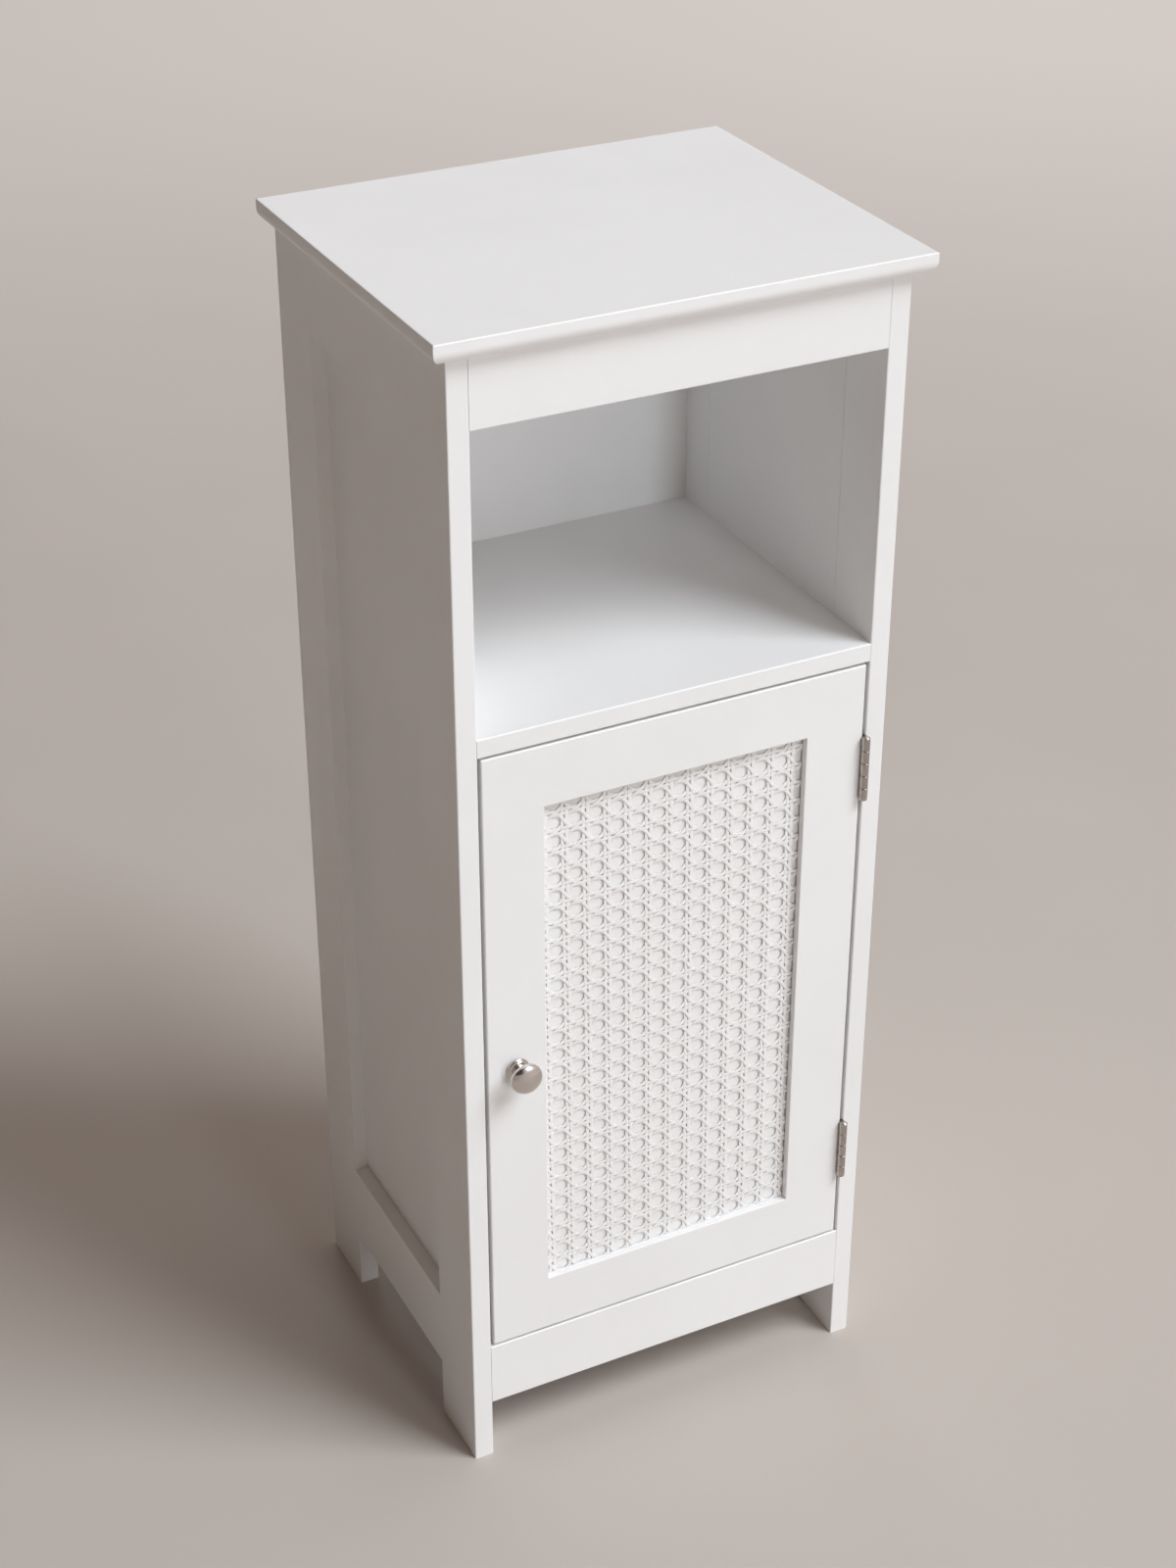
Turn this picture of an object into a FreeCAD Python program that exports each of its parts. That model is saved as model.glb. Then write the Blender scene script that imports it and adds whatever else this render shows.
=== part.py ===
# Free-standing bathroom cabinet: an open niche above a cupboard with a cane-panel door.
# Millimetres. X runs to the right, Y to the back and Z up. The origin is on the floor, in the
# middle of the box that holds the whole cabinet, knob included.
import FreeCAD
import Part
import math
import os
from FreeCAD import Vector

# Overall sizes
overall_height = 900.0
top_width = 350.0
top_depth = 290.0
side_overhang = 12.0
front_overhang = 11.0

# Boards and sheets
board = 15.0
shelf_board = 14.0
sheet = 3.0
side_sheet = 4.0
arris = 1.0
top_round = 9.0

# Side frames
front_leg_depth = 58.5
rear_leg_depth = 56.0
foot_height = 51.0
side_bottom_rail_height = 65.5
side_top_rail_height = 62.5
panel_lap = 9.5
panel_slack = 0.3

# Cross rails, shelves and back
apron_height = 49.0
kick_rail_height = 54.0
rear_rail_thickness = 10.0
niche_floor_height = 621.5
back_groove_depth = 5.0
back_panel_foot = 58.0
inner_shelf_thickness = 12.0
inner_shelf_height = 350.0
inner_shelf_setback = 12.0
inner_shelf_slack = 1.5

# Stub tenons on the rails and on the ends of the boards
tenon_thickness = 6.0
tenon_shoulder = 12.0
side_tenon_length = 14.0
cross_tenon_length = 9.0
tenon_slack = 0.5
board_tenon_width = 17.0
board_tenon_setback = 22.0

# Shelf supports and corner blocks
support_thickness = 2.0
support_width = 14.0
support_drop = 18.0
support_reach = 11.0
support_setback = 14.0
corner_block = 24.0

# Door
door_side_gap = 2.5
door_end_gap = 2.0
stile_width = 45.0
door_rail_height = 46.5
window_arris = 0.6
rebate_lap = 8.0
rebate_slack = 0.3
cane_recess = 5.5
cane_thickness = 1.6

# Cane webbing, a net of eight-sided gaps
cane_columns = 12
cane_rows = 25
gap_width = 9.4
gap_corner = 2.8

# Knob
knob_height = 353.0
knob_reach = 21.0
knob_head_radius = 11.9
knob_rim_width = 1.4
knob_dome_height = 6.4
knob_neck_radius = 4.6
knob_neck_length = 1.0
knob_ring_radius = 6.9
knob_ring_width = 1.2
knob_flange_radius = 8.2
knob_flange_width = 1.6
knob_step = 0.5
knob_sides = 28
knob_flare_steps = 4
knob_dome_steps = 5
knob_screw_radius = 2.0
knob_screw_depth = 10.0
knob_screw_slack = 0.5
screw_head_radius = 4.0
screw_head_height = 2.2
screw_clearance = 0.25
thread_clearance = 0.05

# Hinges
hinge_inset = 81.0
hinge_length = 50.0
knuckle_count = 5
knuckle_gap = 0.3
barrel_radius = 3.0
barrel_standoff = 0.2
leaf_thickness = 1.1
leaf_width = 12.5
leaf_setback = 0.1
hinge_pin_radius = 1.5
hinge_pin_clearance = 0.05

# Magnetic catch
catch_length = 44.0
catch_height = 13.0
catch_depth = 16.0
catch_inset = 26.0
catch_wall = 2.0
magnet_depth = 10.0
strike_length = 38.0
strike_height = 9.0
strike_inset = 2.0
strike_thickness = 1.0
strike_clearance = 0.3

# Working values
overrun = 1.0
match_tolerance = 0.001

# Derived places
floor = 0.0
left = -1
right = 1
sides = {"left": left, "right": right}
half_top = top_width / 2
half_body = half_top - side_overhang
half_inside = half_body - board
body_depth = top_depth - front_overhang
back_y = (body_depth + knob_reach) / 2
front_y = back_y - body_depth
top_front_y = front_y - front_overhang
top_underside = overall_height - board
front_leg_back = front_y + front_leg_depth
rear_leg_front = back_y - rear_leg_depth
front_board = (front_y, front_y + board)
rear_board = (back_y - rear_rail_thickness, back_y)
back_panel_span = (rear_board[0] - sheet, rear_board[0])
inside_back = back_panel_span[0]
apron_span = (top_underside - apron_height, top_underside)
kick_span = (foot_height, foot_height + kick_rail_height)
side_bottom_span = (foot_height, foot_height + side_bottom_rail_height)
side_top_span = (top_underside - side_top_rail_height, top_underside)
fixed_shelf_span = (niche_floor_height - shelf_board, niche_floor_height)
cupboard_floor_span = (kick_span[1] - shelf_board, kick_span[1])
inner_shelf_span = (inner_shelf_height - inner_shelf_thickness, inner_shelf_height)
front_tenon_run = (front_y + board_tenon_setback, front_y + board_tenon_setback + board_tenon_width)
rear_tenon_run = (back_y - board_tenon_setback - board_tenon_width, back_y - board_tenon_setback)
panel_rows = (side_bottom_span[1] - panel_lap, side_top_span[0] + panel_lap)
panel_run = (front_leg_back - panel_lap, rear_leg_front + panel_lap)
half_door = half_inside - door_side_gap
door_span = (kick_span[1] + door_end_gap, fixed_shelf_span[0] - door_end_gap)
door_back = front_board[1]
front_support_start = door_back + support_setback
rear_support_start = inside_back - support_setback - support_width
half_window = half_door - stile_width
window_span = (door_span[0] + door_rail_height, door_span[1] - door_rail_height)
half_rebate = half_window + rebate_lap
rebate_span = (window_span[0] - rebate_lap, window_span[1] + rebate_lap)
cane_front = front_y + cane_recess
cane_back = cane_front + cane_thickness
backing_back = cane_back + sheet
hinge_x = half_inside - door_side_gap / 2
hinge_y = front_y - barrel_radius - barrel_standoff
hinge_places = {
    "upper": door_span[1] - hinge_inset,
    "lower": door_span[0] + hinge_inset,
}
knuckle_pitch = (hinge_length + knuckle_gap) / knuckle_count
knob_x = -(half_window + stile_width / 2)


def block(x_span, y_span, z_span):
    """Box between a low and a high limit on each axis."""
    corner = Vector(x_span[0], y_span[0], z_span[0])
    lengths = [high - low for low, high in (x_span, y_span, z_span)]
    return Part.makeBox(*lengths, corner)


def across(side, inner, outer):
    """Span in X between two distances from the middle, on the left or the right."""
    return tuple(sorted((side * inner, side * outer)))


def grown(span, amount):
    """Span made longer by the same amount at both ends."""
    return (span[0] - amount, span[1] + amount)


def middle(span):
    """Middle of a span."""
    return (span[0] + span[1]) / 2


def rod(radius, length, start, direction):
    """Round bar of a given length from a start point."""
    return Part.makeCylinder(radius, length, start, direction)


def outline(points):
    """Closed outline of straight edges through the given points."""
    return Part.makePolygon(points + points[:1])


def edges_at(shape, **place):
    """Edges whose two ends both lie at the named coordinates, such as y and z of a front edge."""

    def lies_there(edge):
        ends = [vertex.Point for vertex in edge.Vertexes]
        return all(
            abs(getattr(end, axis) - value) < match_tolerance
            for end in ends
            for axis, value in place.items()
        )

    return [edge for edge in shape.Edges if lies_there(edge)]


def eased(shape, radius, places):
    """Shape with the edges at each of the given places rounded."""
    edges = [edge for place in places for edge in edges_at(shape, **place)]
    return shape.makeFillet(radius, edges)


# Carcass boards


def top_board():
    """Top, with a large round under its front and sides and a small one above."""
    top = block((-half_top, half_top), (top_front_y, back_y), (top_underside, overall_height))
    outer_lines = [{"y": top_front_y}, {"x": -half_top}, {"x": half_top}]
    top = eased(top, top_round, [dict(line, z=top_underside) for line in outer_lines])
    return eased(top, arris, [dict(line, z=overall_height) for line in outer_lines])


def side_tenon(side, rail_span, shoulder_y, direction, length):
    """Stub tenon on the end of a side rail, running from its shoulder into a leg."""
    middle_x = half_inside + board / 2
    half_tenon = tenon_thickness / 2
    return block(
        across(side, middle_x - half_tenon, middle_x + half_tenon),
        tuple(sorted((shoulder_y, shoulder_y + direction * length))),
        grown(rail_span, -tenon_shoulder),
    )


def cross_tenon(side, rail_run, rail_span, length):
    """Stub tenon on the end of a cross rail, running from the inside face into a leg."""
    half_tenon = tenon_thickness / 2
    return block(
        across(side, half_inside, half_inside + length),
        (middle(rail_run) - half_tenon, middle(rail_run) + half_tenon),
        grown(rail_span, -tenon_shoulder),
    )


def panel_rebate(side):
    """Shallow seat for the inset panel, cut into the inner face of a side frame."""
    return block(across(side, half_inside - overrun, half_inside + side_sheet), panel_run, panel_rows)


def board_tenon(side, tenon_run, board_span, length):
    """Stub tenon on the end of a shelf board, running from the inside face into a leg."""
    half_tenon = tenon_thickness / 2
    return block(
        across(side, half_inside, half_inside + length),
        tenon_run,
        (middle(board_span) - half_tenon, middle(board_span) + half_tenon),
    )


def leg_mortises(side, shoulder_y, direction, rail_run, tenon_run):
    """Slots in a leg for its two side rails, its two cross rails and two boards."""
    side_depth = side_tenon_length + tenon_slack
    cross_depth = cross_tenon_length + tenon_slack
    slots = [
        side_tenon(side, span, shoulder_y, direction, side_depth)
        for span in (side_bottom_span, side_top_span)
    ]
    slots += [
        cross_tenon(side, rail_run, span, cross_depth) for span in (kick_span, apron_span)
    ]
    slots += [
        board_tenon(side, tenon_run, span, cross_depth)
        for span in (fixed_shelf_span, cupboard_floor_span)
    ]
    return slots


def front_leg(side):
    """Front leg, rounded along its two front edges."""
    leg = block(
        across(side, half_inside, half_body), (front_y, front_leg_back), (floor, top_underside)
    )
    front_lines = [{"x": side * x, "y": front_y} for x in (half_inside, half_body)]
    leg = eased(leg, arris, front_lines)
    mortises = leg_mortises(side, front_leg_back, -1, front_board, front_tenon_run)
    return leg.cut([panel_rebate(side)] + mortises)


def rear_leg(side):
    """Rear leg, grooved for the back panel."""
    leg = block(
        across(side, half_inside, half_body), (rear_leg_front, back_y), (floor, top_underside)
    )
    rear_lines = [{"x": side * x, "y": back_y} for x in (half_inside, half_body)]
    leg = eased(leg, arris, rear_lines)
    groove = block(
        across(side, half_inside - overrun, half_inside + back_groove_depth),
        back_panel_span,
        (back_panel_foot, top_underside + overrun),
    )
    mortises = leg_mortises(side, rear_leg_front, 1, rear_board, rear_tenon_run)
    return leg.cut([panel_rebate(side), groove] + mortises)


def side_rail(side, rail_span):
    """Rail of a side frame, tenoned into the front and rear legs."""
    rail = block(
        across(side, half_inside, half_body), (front_leg_back, rear_leg_front), rail_span
    )
    tenons = [
        side_tenon(side, rail_span, front_leg_back, -1, side_tenon_length),
        side_tenon(side, rail_span, rear_leg_front, 1, side_tenon_length),
    ]
    return rail.cut(panel_rebate(side)).fuse(tenons).removeSplitter()


def side_panel(side):
    """Thin panel of a side frame, flush with the inner face and deep inside the outer one."""
    return block(
        across(side, half_inside, half_inside + side_sheet),
        grown(panel_run, -panel_slack),
        grown(panel_rows, -panel_slack),
    )


def cross_rail(rail_run, rail_span, eased_heights):
    """Rail across the front or the back, tenoned into both legs."""
    rail = block((-half_inside, half_inside), rail_run, rail_span)
    if eased_heights:
        rail = eased(rail, arris, [{"y": front_y, "z": z} for z in eased_heights])
    tenons = [
        cross_tenon(side, rail_run, rail_span, cross_tenon_length) for side in sides.values()
    ]
    return rail.fuse(tenons).removeSplitter()


def tenoned_board(board_run, board_span):
    """Board between the side frames, tenoned into all four legs."""
    tenons = [
        board_tenon(side, tenon_run, board_span, cross_tenon_length)
        for side in sides.values()
        for tenon_run in (front_tenon_run, rear_tenon_run)
    ]
    plain = block((-half_inside, half_inside), board_run, board_span)
    return plain.fuse(tenons).removeSplitter()


def fixed_shelf():
    """Floor of the open niche, rounded along its front edges."""
    shelf = tenoned_board((front_y, inside_back), fixed_shelf_span)
    return eased(shelf, arris, [{"y": front_y, "z": z} for z in fixed_shelf_span])


def cupboard_floor():
    """Floor of the cupboard, level with the top of the kick rail."""
    return tenoned_board((front_board[1], inside_back), cupboard_floor_span)


def back_panel():
    """Thin back, held in the rear legs' grooves."""
    half_back = half_inside + back_groove_depth - panel_slack
    return block((-half_back, half_back), back_panel_span, (back_panel_foot, top_underside))


def inner_shelf():
    """Loose shelf inside the cupboard."""
    half_shelf = half_inside - inner_shelf_slack
    run = (door_back + inner_shelf_setback, inside_back - inner_shelf_slack)
    shelf = block((-half_shelf, half_shelf), run, inner_shelf_span)
    return eased(shelf, arris, [{"y": run[0], "z": z} for z in inner_shelf_span])


def shelf_support(side, start_y):
    """Angle on a leg's inner face: an upright flange, and a ledge under the inner shelf."""
    run = (start_y, start_y + support_width)
    ledge_top = inner_shelf_span[0]
    flange = block(
        across(side, half_inside - support_thickness, half_inside),
        run,
        (ledge_top - support_drop, ledge_top),
    )
    ledge = block(
        across(side, half_inside - support_reach, half_inside),
        run,
        (ledge_top - support_thickness, ledge_top),
    )
    return flange.fuse(ledge).removeSplitter()


def shelf_supports():
    """Four angles that carry the inner shelf, one on each leg."""
    angles = [
        shelf_support(side, start_y)
        for side in sides.values()
        for start_y in (front_support_start, rear_support_start)
    ]
    return Part.makeCompound(angles)


def corner_blocks():
    """Three-sided blocks in the corners under the top."""
    corners = [
        (side, corner_y, direction)
        for side in sides.values()
        for corner_y, direction in ((front_board[1], 1), (inside_back, -1))
    ]
    blocks = []
    for side, corner_y, direction in corners:
        corner = Vector(side * half_inside, corner_y, top_underside - corner_block)
        along_rail = corner + Vector(-side * corner_block, 0, 0)
        along_side = corner + Vector(0, direction * corner_block, 0)
        face = Part.Face(outline([corner, along_rail, along_side]))
        blocks.append(face.extrude(Vector(0, 0, corner_block)))
    return Part.makeCompound(blocks)


# Magnetic catch


def catch_span():
    """Span of the catch in X, near the door's free edge."""
    start = -half_door + catch_inset
    return (start, start + catch_length)


def catch_run():
    """Span of the catch in Y, from just behind the strike plate."""
    start = door_back + strike_thickness + strike_clearance
    return (start, start + catch_depth)


def catch_rows():
    """Span of the catch in Z, hung under the fixed shelf."""
    return (fixed_shelf_span[0] - catch_height, fixed_shelf_span[0])


def magnet():
    """Magnet in the open front of the catch."""
    start = catch_run()[0]
    return block(
        grown(catch_span(), -catch_wall),
        (start, start + magnet_depth),
        grown(catch_rows(), -catch_wall),
    )


def catch_housing():
    """Housing of the catch, open in front for the magnet."""
    return block(catch_span(), catch_run(), catch_rows()).cut(magnet())


def strike_plate():
    """Plate on the back of the door that the magnet holds."""
    half_length = strike_length / 2
    centre_x = middle(catch_span())
    plate_top = door_span[1] - strike_inset
    return block(
        (centre_x - half_length, centre_x + half_length),
        (door_back, door_back + strike_thickness),
        (plate_top - strike_height, plate_top),
    )


# Door


def door_frame():
    """Door board with a window, a rebate behind it and a hole for the knob's screw."""
    frame = block((-half_door, half_door), front_board, door_span)
    outer_lines = [{"y": front_y, "x": x} for x in (-half_door, half_door)]
    outer_lines += [{"y": front_y, "z": z} for z in door_span]
    frame = eased(frame, arris, outer_lines)
    window = block((-half_window, half_window), grown(front_board, overrun), window_span)
    frame = frame.cut(window)
    window_lines = [{"y": front_y, "x": x} for x in (-half_window, half_window)]
    window_lines += [{"y": front_y, "z": z} for z in window_span]
    frame = eased(frame, window_arris, window_lines)
    rebate = block((-half_rebate, half_rebate), (cane_front, door_back + overrun), rebate_span)
    knob_hole = rod(
        knob_screw_radius + screw_clearance,
        board + overrun + overrun,
        Vector(knob_x, front_y - overrun, knob_height),
        Vector(0, 1, 0),
    )
    return frame.cut([rebate, knob_hole])


def cane_gap(x, y, z):
    """Outline of one eight-sided gap in the webbing, about its middle."""
    half_gap = gap_width / 2
    flat = half_gap - gap_corner
    reaches = [
        (half_gap, flat), (flat, half_gap), (-flat, half_gap), (-half_gap, flat),
        (-half_gap, -flat), (-flat, -half_gap), (flat, -half_gap), (half_gap, -flat),
    ]
    return outline([Vector(x + across_gap, y, z + up_gap) for across_gap, up_gap in reaches])


def cane_webbing():
    """Cane net across the window, one holed face with the thickness of the weave."""
    half_net = half_rebate - rebate_slack
    rows = grown(rebate_span, -rebate_slack)
    border = outline([
        Vector(-half_net, cane_front, rows[0]),
        Vector(half_net, cane_front, rows[0]),
        Vector(half_net, cane_front, rows[1]),
        Vector(-half_net, cane_front, rows[1]),
    ])
    column_pitch = (half_window + half_window) / cane_columns
    row_pitch = (window_span[1] - window_span[0]) / cane_rows
    gaps = [
        cane_gap(
            -half_window + (column + 1 / 2) * column_pitch,
            cane_front,
            window_span[0] + (row + 1 / 2) * row_pitch,
        )
        for column in range(cane_columns)
        for row in range(cane_rows)
    ]
    net = Part.Face([border] + gaps)
    return net.extrude(Vector(0, cane_thickness, 0))


def cane_backing():
    """Sheet behind the cane."""
    half_sheet = half_rebate - rebate_slack
    return block(
        (-half_sheet, half_sheet), (cane_back, backing_back), grown(rebate_span, -rebate_slack)
    )


def upright_bead(side):
    """Bead in the rebate along a stile, the full height of the rebate."""
    return block(
        across(side, half_window, half_rebate - rebate_slack),
        (backing_back, door_back),
        grown(rebate_span, -rebate_slack),
    )


def level_bead(bead_span):
    """Bead in the rebate along a rail, between the upright beads."""
    half_bead = half_window - rebate_slack
    return block((-half_bead, half_bead), (backing_back, door_back), bead_span)


def knob_bands():
    """Radius and distance from the door of each ring round the knob, from its base to its dome."""
    ring_start = knob_flange_width + knob_step
    ring_end = ring_start + knob_ring_width
    neck_start = ring_end + knob_step
    neck_end = neck_start + knob_neck_length
    rim_end = knob_reach - knob_dome_height
    flare_length = rim_end - knob_rim_width - neck_end
    flare_width = knob_head_radius - knob_neck_radius
    quarter_turn = math.pi / 2
    bands = [
        (knob_flange_radius, floor),
        (knob_flange_radius, knob_flange_width),
        (knob_ring_radius, ring_start),
        (knob_ring_radius, ring_end),
        (knob_neck_radius, neck_start),
    ]
    for step in range(knob_flare_steps + 1):
        turn = quarter_turn * step / knob_flare_steps
        radius = knob_head_radius - flare_width * math.cos(turn)
        bands.append((radius, neck_end + flare_length * math.sin(turn)))
    for step in range(knob_dome_steps):
        turn = quarter_turn * step / knob_dome_steps
        radius = knob_head_radius * math.cos(turn)
        bands.append((radius, rim_end + knob_dome_height * math.sin(turn)))
    return bands


def knob_ring(radius, distance):
    """Corner points of one many-sided ring round the knob's axis."""
    turns = [2 * math.pi * step / knob_sides for step in range(knob_sides)]
    return [Vector(radius * math.cos(turn), -distance, radius * math.sin(turn)) for turn in turns]


def knob():
    """Turned pull: a stepped base, a waist, a flare and a dome, bored for its screw."""
    rings = [knob_ring(*band) for band in knob_bands()]
    tip = Vector(0, -knob_reach, 0)
    facets = [rings[0]]
    for near, far in zip(rings, rings[1:]):
        facets += [
            [near[step - 1], near[step], far[step], far[step - 1]] for step in range(knob_sides)
        ]
    facets += [[rings[-1][step - 1], rings[-1][step], tip] for step in range(knob_sides)]
    turned = Part.Solid(Part.makeShell([Part.Face(outline(facet)) for facet in facets]))
    bore_radius = knob_screw_radius + thread_clearance
    bore = rod(bore_radius, knob_screw_depth + overrun, Vector(0, overrun, 0), Vector(0, -1, 0))
    pull = turned.cut(bore)
    pull.translate(Vector(knob_x, front_y, knob_height))
    return pull


def knob_screw():
    """Screw through the door into the knob, its head on the back of the door."""
    head_start = Vector(knob_x, door_back, knob_height)
    head = rod(screw_head_radius, screw_head_height, head_start, Vector(0, 1, 0))
    shank_length = board + knob_screw_depth - knob_screw_slack
    shank = rod(knob_screw_radius, shank_length, head_start, Vector(0, -1, 0))
    return head.fuse(shank).removeSplitter()


# Hinges


def hinge_leaf(centre_z, side, knuckles):
    """One leaf: a flat plate, its own knuckles round the pin and the straps between them."""
    low_z = centre_z - hinge_length / 2
    face_x = hinge_x + side * door_side_gap / 2
    plate_x = tuple(sorted((face_x, face_x - side * leaf_thickness)))
    plate_start = front_y + leaf_setback
    leaf = block(plate_x, (plate_start, plate_start + leaf_width), (low_z, low_z + hinge_length))
    pieces = []
    for knuckle in knuckles:
        start_z = low_z + knuckle * knuckle_pitch
        end_z = start_z + knuckle_pitch - knuckle_gap
        start = Vector(hinge_x, hinge_y, start_z)
        pieces.append(rod(barrel_radius, end_z - start_z, start, Vector(0, 0, 1)))
        pieces.append(block(plate_x, (hinge_y, plate_start), (start_z, end_z)))
    leaf = leaf.fuse(pieces)
    bore_start = Vector(hinge_x, hinge_y, low_z - overrun)
    bore_length = hinge_length + overrun + overrun
    bore = rod(hinge_pin_radius + hinge_pin_clearance, bore_length, bore_start, Vector(0, 0, 1))
    return leaf.cut(bore).removeSplitter()


def hinge_pin(centre_z):
    """Plain pin through all the knuckles, flush with the barrel's ends."""
    low = Vector(hinge_x, hinge_y, centre_z - hinge_length / 2)
    return rod(hinge_pin_radius, hinge_length, low, Vector(0, 0, 1))


def carcass_nodes():
    """Every piece of the standing cabinet, by name."""
    nodes = {"top_board": top_board()}
    for name, side in sides.items():
        nodes[f"{name}_front_leg"] = front_leg(side)
        nodes[f"{name}_rear_leg"] = rear_leg(side)
        nodes[f"{name}_top_rail"] = side_rail(side, side_top_span)
        nodes[f"{name}_bottom_rail"] = side_rail(side, side_bottom_span)
        nodes[f"{name}_side_panel"] = side_panel(side)
    nodes["apron_rail"] = cross_rail(front_board, apron_span, apron_span[:1])
    nodes["kick_rail"] = cross_rail(front_board, kick_span, kick_span)
    nodes["rear_top_rail"] = cross_rail(rear_board, apron_span, ())
    nodes["rear_bottom_rail"] = cross_rail(rear_board, kick_span, ())
    nodes["fixed_shelf"] = fixed_shelf()
    nodes["cupboard_floor"] = cupboard_floor()
    nodes["back_panel"] = back_panel()
    nodes["inner_shelf"] = inner_shelf()
    nodes["shelf_supports"] = shelf_supports()
    nodes["corner_blocks"] = corner_blocks()
    nodes["catch_housing"] = catch_housing()
    nodes["catch_magnet"] = magnet()
    for name, centre_z in hinge_places.items():
        nodes[f"{name}_hinge_frame_leaf"] = hinge_leaf(centre_z, right, range(0, knuckle_count, 2))
        nodes[f"{name}_hinge_pin"] = hinge_pin(centre_z)
    return nodes


def door_nodes():
    """Every piece that swings with the door, by name."""
    nodes = {
        "door_frame": door_frame(),
        "cane_webbing": cane_webbing(),
        "cane_backing": cane_backing(),
        "top_bead": level_bead((window_span[1], rebate_span[1] - rebate_slack)),
        "bottom_bead": level_bead((rebate_span[0] + rebate_slack, window_span[0])),
        "knob": knob(),
        "knob_screw": knob_screw(),
        "strike_plate": strike_plate(),
    }
    for name, side in sides.items():
        nodes[f"{name}_bead"] = upright_bead(side)
    for name, centre_z in hinge_places.items():
        nodes[f"{name}_hinge_door_leaf"] = hinge_leaf(centre_z, left, range(1, knuckle_count, 2))
    return nodes


os.makedirs("parts", exist_ok=True)
for node, shape in {**carcass_nodes(), **door_nodes()}.items():
    shape.exportStep(os.path.join("parts", f"{node}.step"))
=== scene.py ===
"""Looks of a white free-standing bathroom cabinet with an open niche and a cane-panel door.

Everything is in metres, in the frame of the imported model: X to the right, Y to the back, Z up.
"""
import logging
import math
from dataclasses import dataclass
from enum import Enum
from typing import Any, Iterable, Sequence

import bmesh
import bpy
from mathutils import Matrix, Vector


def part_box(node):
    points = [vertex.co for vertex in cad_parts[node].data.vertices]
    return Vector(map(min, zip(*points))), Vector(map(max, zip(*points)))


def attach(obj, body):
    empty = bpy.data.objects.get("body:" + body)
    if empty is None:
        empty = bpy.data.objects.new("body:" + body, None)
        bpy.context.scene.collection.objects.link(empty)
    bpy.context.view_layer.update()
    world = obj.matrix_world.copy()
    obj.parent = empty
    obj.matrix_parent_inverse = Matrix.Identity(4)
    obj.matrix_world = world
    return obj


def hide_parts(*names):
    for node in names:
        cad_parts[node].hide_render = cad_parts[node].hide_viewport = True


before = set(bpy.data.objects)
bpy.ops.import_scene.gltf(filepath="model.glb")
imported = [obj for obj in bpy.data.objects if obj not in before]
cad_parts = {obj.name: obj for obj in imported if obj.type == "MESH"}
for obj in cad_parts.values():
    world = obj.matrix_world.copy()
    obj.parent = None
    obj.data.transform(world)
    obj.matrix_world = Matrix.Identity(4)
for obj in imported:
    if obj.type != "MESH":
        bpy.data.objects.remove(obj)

log = logging.getLogger("cabinet")
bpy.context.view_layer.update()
MM = 0.001
SMOOTH_ANGLE = math.radians(35)
QUARTER = math.pi / 2
UP = Vector((0.0, 0.0, 1.0))
WELD = 0.002 * MM
SLACK = 0.001 * MM
NOISE_MIDDLE = (0.3, 0.7)
MIX_FIRST, MIX_SECOND, MIX_RESULT = 6, 7, 2
Colour = tuple[float, float, float]
Point = tuple[float, float, float]
Pair = tuple[float, float]
BMesh, BMVert, BMEdge = bmesh.types.BMesh, bmesh.types.BMVert, bmesh.types.BMEdge
Material = bpy.types.Material


class Body(Enum):
    """The two rigid bodies of the cabinet."""

    CARCASS = "carcass"
    DOOR = "door"


class Toward(Enum):
    """Directions that the knob or a screw head may face."""

    FRONT = (0.0, -1.0, 0.0)
    BACK = (0.0, 1.0, 0.0)
    LEFT = (-1.0, 0.0, 0.0)
    RIGHT = (1.0, 0.0, 0.0)
    DOWN = (0.0, 0.0, -1.0)

    @property
    def vector(self) -> Vector:
        """The direction as a unit vector."""
        return Vector(self.value)


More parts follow.
